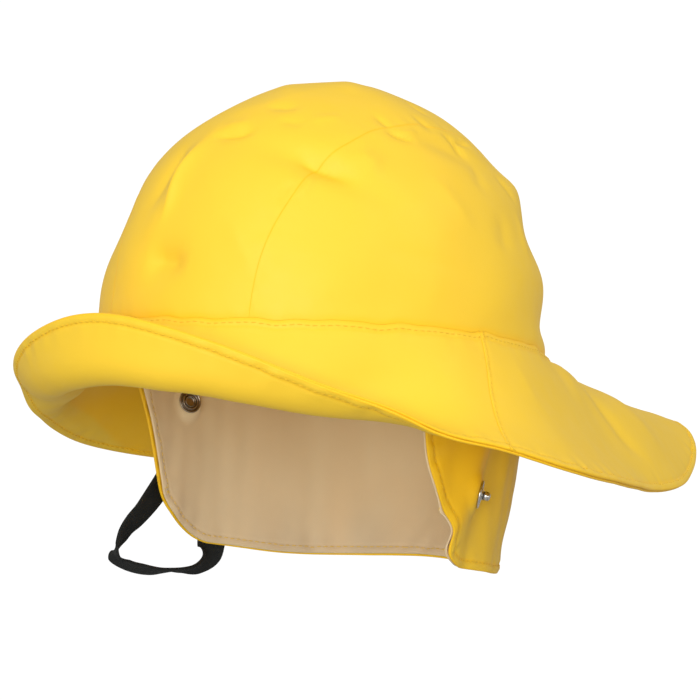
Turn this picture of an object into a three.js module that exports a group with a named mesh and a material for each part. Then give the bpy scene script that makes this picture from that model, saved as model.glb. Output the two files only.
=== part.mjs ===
// Rain hat of coated cloth: domed crown, turned-up front brim, long tail and a lined neck flap.
// Millimetres. +Z is up, the wearer looks along -Y, and the wearer's left is +X.
// The origin is the middle of the head opening, at the height of the seam between crown and brim.
import * as THREE from 'three';
import { mergeVertices } from 'three/addons/utils/BufferGeometryUtils.js';

// Head opening and crown
const HEAD_HALF_LENGTH = 103; // front to back, half of the head opening
const HEAD_HALF_WIDTH = 88; // side to side, half of the head opening
const CROWN_HEIGHT = 106.7;
const CROWN_ROUNDNESS = 2.1; // 2 is an ellipsoid, more is squarer
const SEAM_WAVE = 2.9; // the seam rises at the ears and dips at front and back
const CROWN_WALL = 1.5;
const STRIP_HALF_TOP = 52; // half width of the centre strip over the head
const STRIP_HALF_BASE = 37; // and at the seam
const GAP = 0.35; // clearance between neighbouring pieces

// Brim, two plies
const BRIM_PLY = 1.0;
const PLY_GAP = 0.4; // between the plies, wide enough for the flat facets of a curve
const SIDE_SEAM_ROOT = 84; // degrees from the front, where the side seam of the brim starts
const SIDE_SEAM_RIM = 76; // and where it ends

// Neck flap, a shell with a lining
const FLAP_START = 3; // below the crown seam
const FLAP_DEPTH = 91;
const FLAP_LEFT_DROP = 91.2; // hanging length at the wearer's left, behind and at the right
const FLAP_BACK_DROP = 81.6;
const FLAP_RIGHT_DROP = 89.2;
const FLAP_LEFT_CORNER = 28; // corner radii of the front edges
const FLAP_RIGHT_CORNER = 25;
const FLAP_BACK_SPAN = 0.68; // the hem rises over this part of the way from side to back
const FLAP_HALF_GIRTH = 170;
const SHELL_PLY = 1.1;
const LINING_PLY = 1.0;
const LINING_INSET = 1.6; // the shell's edge shows outside the lining

// Chin strap, flat woven elastic
const STRAP_WIDTH = 13.5;
const STRAP_THICKNESS = 1.5;
const STRAP_STANDOFF = 1.9; // centre line of the strap off the flap where it passes behind
const STRAP_HIDDEN_FROM = { angle: -123, z: -70 };
const STRAP_HIDDEN_TO = { angle: 109, z: -14 };
const STRAP_HIDDEN_STEPS = 20;

// Folds and dents of the crown: angle from the front and height place the middle; along and
// across are half sizes; tilt turns the fold from level; out is positive for a ridge
const CROWN_FOLDS = [
  { angle: 39, z: 62, along: 26, across: 7, tilt: -24, out: -2.6 },
  { angle: 60, z: 80, along: 20, across: 8, tilt: 15, out: 1.2 },
  { angle: 84, z: 79, along: 22, across: 6, tilt: -14, out: -1.8 },
  { angle: 128, z: 104.5, along: 30, across: 22, tilt: 0, out: 0.9 },
  { angle: -4, z: 21, along: 13, across: 9, tilt: 0, out: -2.0 },
  { angle: -8, z: 58, along: 24, across: 6, tilt: 84, out: 1.4 },
  { angle: -50, z: 40, along: 26, across: 14, tilt: 0, out: -3.4 },
  { angle: -50, z: 90, along: 24, across: 16, tilt: 0, out: -2.6 },
  { angle: 128, z: 69, along: 20, across: 8, tilt: 0, out: 2.4 },
  { angle: 128, z: 50, along: 24, across: 10, tilt: 0, out: -2.6 },
  { angle: 128, z: 32, along: 22, across: 7, tilt: 0, out: 0.5 },
  { angle: 126, z: 13, along: 24, across: 10, tilt: 0, out: -3.0 },
];

// Brim section by angle from the front, the same on both sides. turn swings the section towards
// the tail, length runs along the cloth, and the slope goes from root to rim between two
// fractions of the length; a slope above 0 rises
const BRIM_SECTIONS = [
  { angle: 0, turn: 0, length: 70.8, root: -55.9, rim: 80, from: 0.353, to: 0.8 },
  { angle: 22, turn: 0, length: 66.1, root: -64.4, rim: 72, from: 0.387, to: 0.85 },
  { angle: 45, turn: 0, length: 61.4, root: -78, rim: 42, from: 0.392, to: 0.96 },
  { angle: 58, turn: 0, length: 60.4, root: -86, rim: 4, from: 0.25, to: 0.95 },
  { angle: 70, turn: 0, length: 58.4, root: -66, rim: -28, from: 0.3, to: 1.0 },
  { angle: 90, turn: 0, length: 68.5, root: -63, rim: -38, from: 0.1, to: 1.0 },
  { angle: 105, turn: 18, length: 69.3, root: -64, rim: -38, from: 0.15, to: 1.0 },
  { angle: 120, turn: 36, length: 75.4, root: -49, rim: -38, from: 0.2, to: 1.0 },
  { angle: 135, turn: 31, length: 92.6, root: -25, rim: -42, from: 0.2, to: 1.0 },
  { angle: 150, turn: 21, length: 113.9, root: -9, rim: -38, from: 0.3, to: 1.0 },
  { angle: 165, turn: 8, length: 128, root: -6.9, rim: -4.5, from: 0.2, to: 1.0 },
  { angle: 180, turn: 0, length: 133.1, root: -7, rim: -3, from: 0.2, to: 1.0 },
];

// On the wearer's right the brim is cut shorter: angle from the front, half width in degrees and
// how much shorter
const BRIM_TRIMS = [
  { angle: -46, half: 15, shorter: 2.7 },
  { angle: -66, half: 6, shorter: 1.2 },
];

// Neck flap plan by depth, from 0 at its top to 1: half sizes of its oval and the angles of its
// left and right front edges
const FLAP_PLAN = [
  { depth: 0, wide: 85.9, long: 102.5, left: 69, right: 69 },
  { depth: 0.25, wide: 80, long: 101, left: 73, right: 73 },
  { depth: 0.5, wide: 76, long: 101, left: 77.8, right: 77.8 },
  { depth: 0.7, wide: 75.2, long: 96.5, left: 83.2, right: 81.8 },
  { depth: 0.85, wide: 75, long: 91.5, left: 87.4, right: 85.6 },
  { depth: 1, wide: 75.5, long: 88, left: 87, right: 92.5 },
];

// Hanging folds of the flap: angle at the top and at the bottom, half width in degrees, how far
// it stands out, and the depth where it sets in
const FLAP_FOLDS = [
  { top: 104, bottom: 89, half: 5.2, out: 3.0, from: 0.25 },
  { top: 114.5, bottom: 100, half: 6.4, out: -3.3, from: 0.2 },
  { top: 150, bottom: 150, half: 12, out: 2, from: 0.3 },
  { top: 175, bottom: 175, half: 10, out: -2, from: 0.3 },
  { top: -150, bottom: -150, half: 12, out: 2, from: 0.3 },
  { top: -125, bottom: -125, half: 10, out: -2, from: 0.3 },
  { top: -98, bottom: -98, half: 9, out: 1, from: 0.3 },
];

// Visible stretch of the chin strap, from its right-hand end down to the loop and up again:
// the middle of the band, and the way its face points, as degrees round from +X and up
const STRAP_ROUTE = [
  { x: -83.2, y: 31, z: -6, round: -6, up: 5 },
  { x: -82.5, y: 27, z: -20, round: -8, up: 8 },
  { x: -81.2, y: 12.5, z: -39.7, round: -4, up: 6 },
  { x: -80.4, y: 5.2, z: -52.6, round: -0, up: 2 },
  { x: -80.6, y: -1.5, z: -63, round: 5, up: -5 },
  { x: -81, y: -8.7, z: -72.3, round: 7, up: -11 },
  { x: -82, y: -14.8, z: -79.7, round: 12, up: -19 },
  { x: -82.8, y: -19.4, z: -84.1, round: 17, up: -22 },
  { x: -83.5, y: -22.6, z: -88.9, round: 23, up: -19 },
  { x: -84.3, y: -24.5, z: -93.8, round: 37, up: -16 },
  { x: -84.6, y: -25, z: -97.3, round: 53, up: 15 },
  { x: -84.4, y: -22.4, z: -99.9, round: 83, up: 67 },
  { x: -84, y: -12.8, z: -102.4, round: 128, up: 76 },
  { x: -83.2, y: -3.4, z: -103.6, round: 161, up: 78 },
  { x: -82.6, y: 4.5, z: -103.4, round: -161, up: 77 },
  { x: -82.2, y: 13.2, z: -102.1, round: -138, up: 79 },
  { x: -81.8, y: 21.3, z: -101, round: -148, up: 66 },
  { x: -81.3, y: 29.2, z: -98, round: -165, up: 26 },
  { x: -81, y: 33, z: -93.3, round: 167, up: -2 },
  { x: -80.8, y: 33.2, z: -88, round: 153, up: 5 },
  { x: -80.3, y: 34.2, z: -81.3, round: 150, up: 5 },
];

// Press stud on the left of the flap and socket on the right, placed by angle and depth
const STUD = { angle: 98, depth: 0.666, plate: 6, plateHigh: 0.9, neck: 1.8, ball: 2.4, ballHigh: 4 };
const SOCKET = { angle: -91.7, depth: 0.311, plate: 5.2, plateHigh: 1.2, well: 2.4, wellDeep: 0.7 };
const CAP = { radius: 4.4, high: 0.9 };
const SEAT_GAP = 0.9; // behind the metal, over the flat facets of the folded cloth

// Mesh fineness
const BRIM_COLUMNS = 24;
const BRIM_ROWS = 12;
const PANEL_ROWS = 7;
const STRIP_COLUMNS = 28;
const STRIP_ROWS = 6;
const FLAP_ROWS = 8;
const SNAP_SIDES = 14;

const YELLOW = new THREE.MeshStandardMaterial({ color: 0xfbd63e, roughness: 0.45, metalness: 0 });
const BEIGE = new THREE.MeshStandardMaterial({ color: 0xe6cda4, roughness: 0.9, metalness: 0 });
const BLACK = new THREE.MeshStandardMaterial({ color: 0x151716, roughness: 0.85, metalness: 0 });
const NICKEL = new THREE.MeshStandardMaterial({ color: 0xb9b6ad, roughness: 0.25, metalness: 1 });

const radians = THREE.MathUtils.degToRad;
const degrees = THREE.MathUtils.radToDeg;
const vec = (x, y, z) => new THREE.Vector3(x, y, z);
const ease = (x) => THREE.MathUtils.smoothstep(x, 0, 1);
const steps = (count) => Array.from({ length: count + 1 }, (_, i) => i / count);

// Reads a table at a place between its rows, as a smooth curve through every column
function readTable(rows, key, at, flatEnds) {
  const last = rows.length - 1;
  let i = 0;
  while (i < last - 1 && at > rows[i + 1][key]) i += 1;
  const span = rows[i + 1][key] - rows[i][key];
  const u = (at - rows[i][key]) / span;
  const slope = (name, k) => {
    if (flatEnds && (k === 0 || k === last)) return 0;
    const before = rows[Math.max(k - 1, 0)];
    const after = rows[Math.min(k + 1, last)];
    return (after[name] - before[name]) / (after[key] - before[key]);
  };
  const result = {};
  for (const name of Object.keys(rows[0])) {
    const a = rows[i][name];
    const b = rows[i + 1][name];
    const leave = slope(name, i) * span * u * (1 - u) ** 2;
    const arrive = slope(name, i + 1) * span * u * u * (1 - u);
    result[name] = a * (1 + 2 * u) * (1 - u) ** 2 + b * u * u * (3 - 2 * u) + leave - arrive;
  }
  return result;
}

// Degrees from the front, brought into -180 to 180
const wrap = (angle) => ((angle + 180) % 360 + 360) % 360 - 180;

// Surface normal of point(a, b) by small steps; it follows the turn from a to b
function normalOf(point, a, b, step) {
  const alongA = point(a + step, b).sub(point(a - step, b));
  const alongB = point(a, b + step).sub(point(a, b - step));
  return alongA.cross(alongB).normalize();
}

// Crown: a dome over the head opening, with its folds, measured from an even dome
function domePoint(angle, rise) {
  const t = radians(angle);
  const shrink = Math.cos(rise * Math.PI / 2) ** (2 / CROWN_ROUNDNESS);
  const lift = Math.sin(rise * Math.PI / 2) ** (2 / CROWN_ROUNDNESS);
  return vec(HEAD_HALF_WIDTH * shrink * Math.sin(t), -HEAD_HALF_LENGTH * shrink * Math.cos(t), CROWN_HEIGHT * lift);
}

function domeNormal(p) {
  const flat = Math.max((p.x / HEAD_HALF_WIDTH) ** 2 + (p.y / HEAD_HALF_LENGTH) ** 2, 1e-9);
  const pull = flat ** (CROWN_ROUNDNESS / 2 - 1);
  const up = (Math.max(p.z, 0) / CROWN_HEIGHT) ** (CROWN_ROUNDNESS - 1) / CROWN_HEIGHT;
  return vec(pull * p.x / HEAD_HALF_WIDTH ** 2, pull * p.y / HEAD_HALF_LENGTH ** 2, up).normalize();
}

const foldFrames = CROWN_FOLDS.map((fold) => {
  const rise = Math.asin((fold.z / CROWN_HEIGHT) ** (CROWN_ROUNDNESS / 2)) * 2 / Math.PI;
  const middle = domePoint(fold.angle, rise);
  const out = domeNormal(middle);
  const level = vec(0, 0, 1).cross(out).normalize();
  const along = level.clone().applyAxisAngle(out, radians(fold.tilt));
  return { ...fold, middle, normal: out, alongWay: along, acrossWay: out.clone().cross(along) };
});

function foldHeight(p) {
  const out = domeNormal(p);
  let height = 0;
  for (const fold of foldFrames) {
    if (out.dot(fold.normal) < 0.3) continue;
    const from = p.clone().sub(fold.middle);
    const a = from.dot(fold.alongWay) / fold.along;
    const b = from.dot(fold.acrossWay) / fold.across;
    height += fold.out * Math.exp(-a * a - b * b);
  }
  return height * ease(p.z / 10);
}

const seamHeight = (angle) => -SEAM_WAVE * Math.cos(radians(2 * angle));

// A point of the crown cloth, depth below its outer face
function crownCloth(p, depth) {
  const angle = degrees(Math.atan2(p.x / HEAD_HALF_WIDTH, -p.y / HEAD_HALF_LENGTH));
  const placed = p.clone().addScaledVector(domeNormal(p), foldHeight(p) - depth);
  placed.z += GAP / 2 + seamHeight(angle) * (1 - p.z / CROWN_HEIGHT) ** 2;
  return placed;
}

const stripHalf = (y) =>
  STRIP_HALF_TOP - (STRIP_HALF_TOP - STRIP_HALF_BASE) * (y / 93) ** 2;

// Centre strip: over is 0 at the front seam and 1 at the back seam, side runs from -1 to 1, and
// grow widens it
function stripPoint(over, side, grow) {
  const phi = over * Math.PI;
  let y = -HEAD_HALF_LENGTH * Math.cos(phi);
  let point = null;
  for (let pass = 0; pass < 8; pass += 1) {
    const x = side * (stripHalf(y) + grow);
    let low = 0;
    let high = 1.1;
    for (let halving = 0; halving < 30; halving += 1) {
      const r = (low + high) / 2;
      const flat = (x / HEAD_HALF_WIDTH) ** 2 + (r * Math.cos(phi)) ** 2;
      const size = flat ** (CROWN_ROUNDNESS / 2) + (r * Math.sin(phi)) ** CROWN_ROUNDNESS;
      if (size > 1) high = r;
      else low = r;
    }
    y = -HEAD_HALF_LENGTH * low * Math.cos(phi);
    point = vec(x, y, CROWN_HEIGHT * low * Math.sin(phi));
  }
  return point;
}

// Side panel: its columns meet the strip's stations, up runs from the seam at 0 to the strip at 1
function sidePoint(over, up, side) {
  const top = stripPoint(over, 1, GAP / 2);
  const angle = degrees(Math.atan2(top.x / HEAD_HALF_WIDTH, -top.y / HEAD_HALF_LENGTH));
  const rise = Math.asin(Math.min((top.z / CROWN_HEIGHT) ** (CROWN_ROUNDNESS / 2), 1)) * 2 / Math.PI;
  const p = domePoint(angle, up * rise);
  p.x *= side;
  return p;
}

function brimTrim(angle) {
  let shorter = 0;
  for (const trim of BRIM_TRIMS) {
    shorter += trim.shorter * Math.exp(-(((angle - trim.angle) / trim.half) ** 2));
  }
  return shorter;
}

// Brim: the face of the cloth at an angle from the front, a fraction s from root to rim
function brimMiddle(angle, s) {
  const folded = wrap(angle);
  const t = radians(folded);
  const row = readTable(BRIM_SECTIONS, 'angle', Math.abs(folded), true);
  const square = Math.atan2(Math.sin(t) / HEAD_HALF_WIDTH, Math.cos(t) / HEAD_HALF_LENGTH);
  const way = square + radians(row.turn) * Math.sign(Math.sin(t));
  const length = row.length - brimTrim(folded);
  const pieces = 40;
  let reach = 0;
  let rise = 0;
  for (let i = 0; i < pieces; i += 1) {
    const at = (i + 0.5) / pieces * s;
    const slope = radians(row.root + (row.rim - row.root) * ease((at - row.from) / (row.to - row.from)));
    reach += Math.cos(slope) * length * s / pieces;
    rise += Math.sin(slope) * length * s / pieces;
  }
  return vec(
    HEAD_HALF_WIDTH * Math.sin(t) + Math.sin(way) * reach,
    -HEAD_HALF_LENGTH * Math.cos(t) - Math.cos(way) * reach,
    seamHeight(folded) + rise - GAP / 2,
  );
}

// depth is measured down from the upper face; the two plies close round the middle face
function brimCloth(angle, s, depth) {
  const up = normalOf((a, b) => brimMiddle(a, b / 100), angle, s * 100, 0.4).negate();
  const shift = (BRIM_PLY + PLY_GAP / 2) * ease(s / 0.3);
  return brimMiddle(angle, s).addScaledVector(up, shift - depth);
}

const sideSeam = (s) => SIDE_SEAM_ROOT + (SIDE_SEAM_RIM - SIDE_SEAM_ROOT) * s;

// Angle of a brim column: place runs -1 to 1 over the front part or over the back part
function brimAngle(part, place, s, gap) {
  const halfGap = degrees(gap / 2 / HEAD_HALF_WIDTH);
  if (part === 'front') return place * (sideSeam(s) - halfGap);
  return 180 + place * (180 - sideSeam(s) - halfGap);
}

// Neck flap: round is -1 at the left front edge and 1 at the right, down is 0 at the top and
// 1 at the bottom edge
function flapFace(round, down) {
  const size = Math.abs(round);
  const corner = round < 0 ? FLAP_LEFT_CORNER : FLAP_RIGHT_CORNER;
  const side = round < 0 ? FLAP_LEFT_DROP : FLAP_RIGHT_DROP;
  const bite = THREE.MathUtils.clamp(1 - (1 - size) * FLAP_HALF_GIRTH / corner, 0, 1);
  const length = FLAP_BACK_DROP + (side - FLAP_BACK_DROP) * ease(size / FLAP_BACK_SPAN)
    - corner * (1 - Math.sqrt(1 - bite * bite));
  const depth = down * length / FLAP_DEPTH;
  const plan = readTable(FLAP_PLAN, 'depth', depth, false);
  const edge = round < 0 ? plan.left : plan.right;
  return flapAt(180 + round * (180 - edge), depth, plan);
}

function flapAt(angle, depth, plan) {
  const t = radians(angle);
  let stand = 0;
  for (const fold of FLAP_FOLDS) {
    const away = wrap(angle - fold.top - (fold.bottom - fold.top) * depth) / fold.half;
    stand += fold.out * Math.exp(-away * away) * ease((depth - fold.from + 0.25) / 0.5);
  }
  const outward = vec(Math.sin(t) / plan.wide, -Math.cos(t) / plan.long, 0).normalize();
  return vec(
    plan.wide * Math.sin(t),
    -plan.long * Math.cos(t),
    seamHeight(angle) - FLAP_START - depth * FLAP_DEPTH,
  ).addScaledVector(outward, stand);
}

// A point of the flap, depth inside its outer face
function flapCloth(round, down, depth) {
  const inward = normalOf((a, b) => flapFace(a / 100, b / 100), round * 100, down * 100, 0.5);
  return flapFace(round, down).addScaledVector(inward, depth);
}

// Joins vertices, drops the triangles that closed to nothing and turns the faces outward
function closeBody(positions, triangles) {
  const geometry = new THREE.BufferGeometry();
  geometry.setAttribute('position', new THREE.Float32BufferAttribute(positions.flatMap((p) => [p.x, p.y, p.z]), 3));
  geometry.setIndex(triangles);
  const merged = mergeVertices(geometry, 1e-3);
  const index = Array.from(merged.index.array);
  const place = merged.attributes.position;
  const corner = (k) => vec().fromBufferAttribute(place, k);
  const kept = [];
  let volume = 0;
  for (let i = 0; i < index.length; i += 3) {
    const [a, b, c] = index.slice(i, i + 3);
    if (a === b || b === c || a === c) continue;
    kept.push([a, b, c]);
    volume += corner(a).dot(corner(b).cross(corner(c)));
  }
  merged.setIndex(kept.flatMap(([a, b, c]) => (volume < 0 ? [a, c, b] : [a, b, c])));
  merged.computeVertexNormals();
  return merged;
}

// A wall of cloth between two faces; each face is a list of columns of points. A ring's last
// column joins its first
function wall(outer, inner, ring = false) {
  const columns = outer.length;
  const rows = outer[0].length;
  const points = [...outer.flat(), ...inner.flat()];
  const at = (face, i, j) => face * columns * rows + (i % columns) * rows + j;
  const triangles = [];
  const quad = (a, b, c, d) => triangles.push(a, b, c, a, c, d);
  const spans = ring ? columns : columns - 1;
  for (let i = 0; i < spans; i += 1) {
    for (let j = 0; j < rows - 1; j += 1) {
      quad(at(0, i, j), at(0, i + 1, j), at(0, i + 1, j + 1), at(0, i, j + 1));
      quad(at(1, i, j), at(1, i, j + 1), at(1, i + 1, j + 1), at(1, i + 1, j));
    }
    quad(at(0, i, 0), at(1, i, 0), at(1, i + 1, 0), at(0, i + 1, 0));
    quad(at(0, i, rows - 1), at(0, i + 1, rows - 1), at(1, i + 1, rows - 1), at(1, i, rows - 1));
  }
  if (!ring) {
    for (let j = 0; j < rows - 1; j += 1) {
      quad(at(0, 0, j), at(0, 0, j + 1), at(1, 0, j + 1), at(1, 0, j));
      quad(at(0, spans, j), at(1, spans, j), at(1, spans, j + 1), at(0, spans, j + 1));
    }
  }
  return closeBody(points, triangles);
}

// Makes the columns of a face from a function of two places
const face = (across, down, point) => across.map((a) => down.map((b) => point(a, b)));

function crownStrip() {
  const point = (depth) => (over, side) => crownCloth(stripPoint(over, side * 2 - 1, -GAP / 2), depth);
  const across = steps(STRIP_COLUMNS);
  const down = steps(STRIP_ROWS);
  return wall(face(across, down, point(0)), face(across, down, point(CROWN_WALL)));
}

function crownSide(side) {
  const point = (depth) => (over, up) => crownCloth(sidePoint(over, up, side), depth);
  const across = steps(STRIP_COLUMNS);
  const down = steps(PANEL_ROWS);
  return wall(face(across, down, point(0)), face(across, down, point(CROWN_WALL)));
}

function brimUpper(part) {
  const point = (depth) => (place, s) => brimCloth(brimAngle(part, place * 2 - 1, s, GAP), s, depth);
  const across = steps(BRIM_COLUMNS);
  const down = steps(BRIM_ROWS);
  return wall(face(across, down, point(0)), face(across, down, point(BRIM_PLY)));
}

function brimUnder() {
  const down = steps(BRIM_ROWS);
  const half = steps(BRIM_COLUMNS).slice(0, -1);
  const columns = (depth) => ['front', 'back'].flatMap((part) =>
    face(half, down, (place, s) => brimCloth(brimAngle(part, place * 2 - 1, s, 0), s, depth)));
  return wall(columns(BRIM_PLY + PLY_GAP), columns(2 * BRIM_PLY + PLY_GAP), true);
}

// Columns of the flap, closer together over the folded left front and at the right front corner
const flapColumns = [
  ...steps(14).map((k) => -1 + 0.26 * k),
  ...steps(22).slice(1).map((k) => -0.74 + 1.6 * k),
  ...steps(5).slice(1).map((k) => 0.86 + 0.14 * k),
];

function flapPly(from, to, inset) {
  const across = flapColumns.map((round) => {
    const limit = 1 - inset / FLAP_HALF_GIRTH;
    return THREE.MathUtils.clamp(round, -limit, limit);
  });
  const down = steps(FLAP_ROWS).map((k) => Math.min(k, 1 - inset / FLAP_DEPTH));
  const point = (depth) => (round, k) => flapCloth(round, k, depth);
  return wall(face(across, down, point(from)), face(across, down, point(to)));
}

// Chin strap: the visible route by the table, then the plain way round behind the flap
function strapRows() {
  const rows = STRAP_ROUTE.map((row) => ({
    middle: vec(row.x, row.y, row.z),
    out: vec(Math.cos(radians(row.round)) * Math.cos(radians(row.up)),
      Math.sin(radians(row.round)) * Math.cos(radians(row.up)), Math.sin(radians(row.up))),
  }));
  const turn = 360 + STRAP_HIDDEN_FROM.angle - STRAP_HIDDEN_TO.angle;
  for (const k of steps(STRAP_HIDDEN_STEPS)) {
    const angle = wrap(STRAP_HIDDEN_FROM.angle - k * turn);
    const z = STRAP_HIDDEN_FROM.z + (STRAP_HIDDEN_TO.z - STRAP_HIDDEN_FROM.z) * k;
    const depth = (seamHeight(angle) - FLAP_START - z) / FLAP_DEPTH;
    const plan = readTable(FLAP_PLAN, 'depth', depth, false);
    const t = radians(angle);
    const out = vec(Math.sin(t) / plan.wide, -Math.cos(t) / plan.long, 0).normalize();
    const middle = vec(plan.wide * Math.sin(t), -plan.long * Math.cos(t), z);
    rows.push({ middle: middle.addScaledVector(out, STRAP_STANDOFF + 2), out });
  }
  return rows;
}

function chinStrap() {
  const rows = strapRows();
  const curve = new THREE.CatmullRomCurve3(rows.map((row) => row.middle), false, 'centripetal');
  const faces = new THREE.CatmullRomCurve3(rows.map((row) => row.out), false, 'centripetal');
  const across = steps((rows.length - 1) * 2);
  const edge = (way) => (k, side) => {
    const along = curve.getTangent(k);
    const out = faces.getPoint(k).normalize();
    const wide = along.clone().cross(out).normalize();
    const up = wide.clone().cross(along).normalize();
    return curve.getPoint(k)
      .addScaledVector(wide, (side - 0.5) * STRAP_WIDTH)
      .addScaledVector(up, way * STRAP_THICKNESS / 2);
  };
  return wall(face(across, [0, 1], edge(1)), face(across, [0, 1], edge(-1)));
}

// Round metal pieces are turned about their axis, from a profile of radius and height
function turned(profile) {
  const points = profile.map(([radius, height]) => new THREE.Vector2(radius, height));
  const lathe = new THREE.LatheGeometry(points, SNAP_SIDES);
  lathe.deleteAttribute('normal');
  lathe.deleteAttribute('uv');
  const merged = mergeVertices(lathe, 1e-3);
  const place = merged.attributes.position;
  const corners = Array.from({ length: place.count }, (_, k) => vec().fromBufferAttribute(place, k));
  return closeBody(corners, Array.from(merged.index.array));
}

const studShape = () => turned([
  [0, 0], [STUD.plate, 0], [STUD.plate, STUD.plateHigh * 0.6], [STUD.plate * 0.6, STUD.plateHigh],
  [STUD.neck, STUD.plateHigh * 1.3], [STUD.neck, STUD.ballHigh - STUD.ball],
  [STUD.ball, STUD.ballHigh - STUD.ball * 0.6], [STUD.ball * 0.7, STUD.ballHigh], [0, STUD.ballHigh],
]);

const socketShape = () => turned([
  [0, 0], [SOCKET.plate, 0], [SOCKET.plate, SOCKET.plateHigh * 0.6],
  [SOCKET.plate * 0.75, SOCKET.plateHigh], [SOCKET.well, SOCKET.plateHigh],
  [SOCKET.well, SOCKET.plateHigh - SOCKET.wellDeep], [0, SOCKET.plateHigh - SOCKET.wellDeep],
]);

const capShape = () => turned([
  [0, 0], [CAP.radius, 0], [CAP.radius * 0.92, CAP.high * 0.6], [CAP.radius * 0.5, CAP.high], [0, CAP.high],
]);

// Seats a round piece on the flap: its back clears the highest place of the cloth under it
function seatOnFlap(mesh, place, radius, depth, outward) {
  const plan = readTable(FLAP_PLAN, 'depth', place.depth, false);
  const left = place.angle > 0;
  const middleRound = wrap(place.angle - 180) / (180 - (left ? plan.left : plan.right));
  const middleDown = place.depth * FLAP_DEPTH / (left ? FLAP_LEFT_DROP : FLAP_RIGHT_DROP);
  const out = flapCloth(middleRound, middleDown, -1).sub(flapCloth(middleRound, middleDown, 0));
  const facing = out.normalize().multiplyScalar(outward ? 1 : -1);
  const middle = flapCloth(middleRound, middleDown, depth);
  let clear = 0;
  for (const a of steps(8)) {
    for (const b of steps(8)) {
      const round = middleRound + (a - 0.5) * 2 * radius / FLAP_HALF_GIRTH;
      const down = middleDown + (b - 0.5) * 2 * radius / FLAP_DEPTH;
      const from = flapCloth(round, down, depth).sub(middle);
      const high = from.dot(facing);
      if (from.addScaledVector(facing, -high).length() < radius) clear = Math.max(clear, high);
    }
  }
  mesh.position.copy(middle.addScaledVector(facing, clear + SEAT_GAP));
  mesh.quaternion.setFromUnitVectors(vec(0, 1, 0), facing);
  return mesh;
}

function piece(name, geometry, material) {
  const mesh = new THREE.Mesh(geometry, material);
  mesh.name = name;
  return mesh;
}

const LINING_FROM = SHELL_PLY + 1.6 * PLY_GAP;
const LINING_TO = LINING_FROM + LINING_PLY;

const group = new THREE.Group();
group.add(
  piece('crown_centre_strip', crownStrip(), YELLOW),
  piece('crown_side_left', crownSide(1), YELLOW),
  piece('crown_side_right', crownSide(-1), YELLOW),
  piece('brim_front', brimUpper('front'), YELLOW),
  piece('brim_back', brimUpper('back'), YELLOW),
  piece('brim_under', brimUnder(), YELLOW),
  piece('flap_shell', flapPly(0, SHELL_PLY, 0), YELLOW),
  piece('flap_lining', flapPly(LINING_FROM, LINING_TO, LINING_INSET), BEIGE),
  piece('chin_strap', chinStrap(), BLACK),
  seatOnFlap(piece('snap_stud', studShape(), NICKEL), STUD, STUD.plate, 0, true),
  seatOnFlap(piece('snap_stud_cap', capShape(), NICKEL), STUD, CAP.radius, LINING_TO, false),
  seatOnFlap(piece('snap_socket', socketShape(), NICKEL), SOCKET, SOCKET.plate, LINING_TO, false),
  seatOnFlap(piece('snap_socket_cap', capShape(), NICKEL), SOCKET, CAP.radius, 0, true),
);

export default group;
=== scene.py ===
"""Dressed model of a yellow rain hat: coated cloth crown and brim, lined neck flap, chin strap and press stud."""

import bmesh
import bpy
import numpy as np
from mathutils import Matrix, Vector
from mathutils.bvhtree import BVHTree


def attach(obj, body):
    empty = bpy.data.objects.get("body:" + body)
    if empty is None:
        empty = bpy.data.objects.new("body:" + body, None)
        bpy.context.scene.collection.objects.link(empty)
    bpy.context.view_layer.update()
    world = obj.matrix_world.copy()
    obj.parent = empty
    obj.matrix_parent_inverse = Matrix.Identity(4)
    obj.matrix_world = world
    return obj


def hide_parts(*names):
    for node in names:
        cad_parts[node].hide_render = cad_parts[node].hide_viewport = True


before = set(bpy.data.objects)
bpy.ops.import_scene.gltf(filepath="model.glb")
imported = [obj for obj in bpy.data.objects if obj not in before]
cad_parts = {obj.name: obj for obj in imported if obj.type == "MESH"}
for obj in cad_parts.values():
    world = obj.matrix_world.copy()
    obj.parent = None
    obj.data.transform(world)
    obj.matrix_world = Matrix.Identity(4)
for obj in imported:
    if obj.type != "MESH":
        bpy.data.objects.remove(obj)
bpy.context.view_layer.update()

# Sizes and tables in millimetres and degrees, those of the solids except where a comment says dressed
HEAD_HALF_LENGTH = 103
HEAD_HALF_WIDTH = 88
CROWN_HEIGHT = 106.7
CROWN_ROUNDNESS = 2.1
SEAM_WAVE = 2.9
CROWN_WALL = 1.5
STRIP_HALF_TOP = 52
STRIP_HALF_BASE = 37
STRIP_REACH = 93
GAP = 0.03  # dressed: sewn pieces nearly touch
BRIM_PLY = 1.0
PLY_GAP = 0.4
SIDE_SEAM_ROOT = 84
SIDE_SEAM_RIM = 76
FLAP_START = 3
FLAP_DEPTH = 91
FLAP_LEFT_DROP = 91.2
FLAP_BACK_DROP = 81.6
FLAP_RIGHT_DROP = 89.2
FLAP_LEFT_CORNER = 28
FLAP_RIGHT_CORNER = 25
FLAP_BACK_SPAN = 0.68
FLAP_HALF_GIRTH = 170
SHELL_PLY = 1.1
LINING_PLY = 1.0
LINING_INSET = 0.6  # dressed: less of the shell's edge shows outside the lining
LINING_FROM = SHELL_PLY + 1.6 * PLY_GAP
LINING_TO = LINING_FROM + LINING_PLY
STRAP_WIDTH = 13.5
STRAP_THICKNESS = 1.5
STRAP_STANDOFF = 3.9  # dressed: clear of the swaying flap
STRAP_HIDDEN_FROM = (-123, -70)
STRAP_HIDDEN_TO = (109, -14)
SEAT_GAP = 0.9
STUD = dict(angle=98, depth=0.666, radius=6, turn=0)
SOCKET = dict(angle=-91.7, depth=0.326, radius=5.2, turn=-24)  # dressed: a little lower, turned with the cloth
CAP_RADIUS = 4.4

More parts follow.
